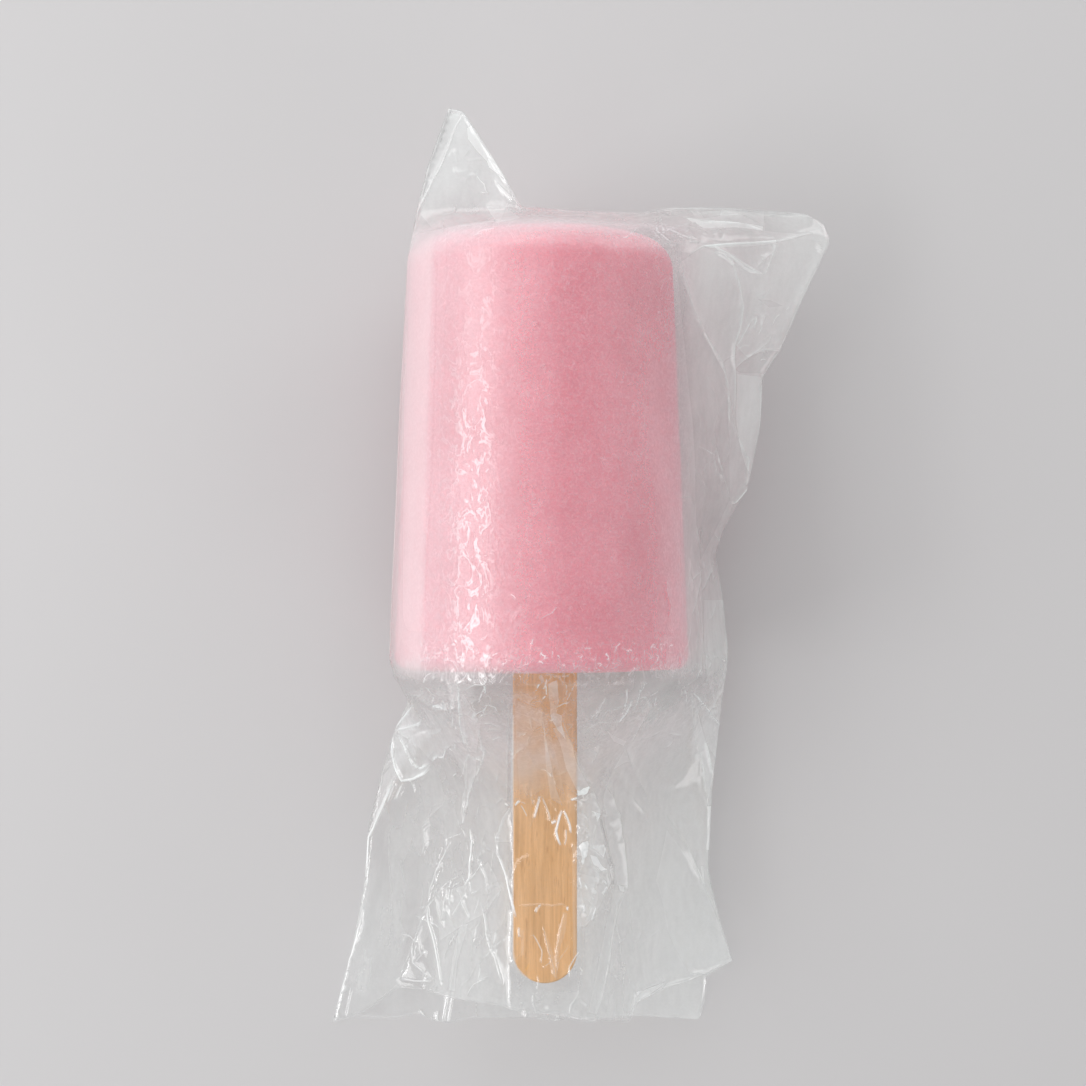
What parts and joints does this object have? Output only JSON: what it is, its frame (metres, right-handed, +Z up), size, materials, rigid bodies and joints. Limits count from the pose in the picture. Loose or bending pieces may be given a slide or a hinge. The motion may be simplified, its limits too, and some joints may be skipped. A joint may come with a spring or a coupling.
{
  "type": "ice pop",
  "caption": "Tapered round block of pink milk ice on a flat wooden stick, lying in a clear film bag whose sealed end wraps the ice and whose mouth is open past the stick.",
  "frame": {"origin": "on the surface the pop lies on, under the middle of the ice, on the small flat that the ice rests on", "axes": "+Z up; +Y along the pop, from the stick towards the far end of the ice; +X to the right when it is seen from above with the stick nearest"},
  "size_m": [0.0809, 0.1475, 0.047],
  "materials": {
    "ice": "frosted pink milk ice with a soft glow and fine darker specks",
    "stick": "plain sanded birch, bare",
    "film": "thin clear glossy plastic film, creased"
  },
  "bodies": {
    "root": {"ice": "ice", "stick": "stick", "bag": "film"}
  },
  "joints": []
}
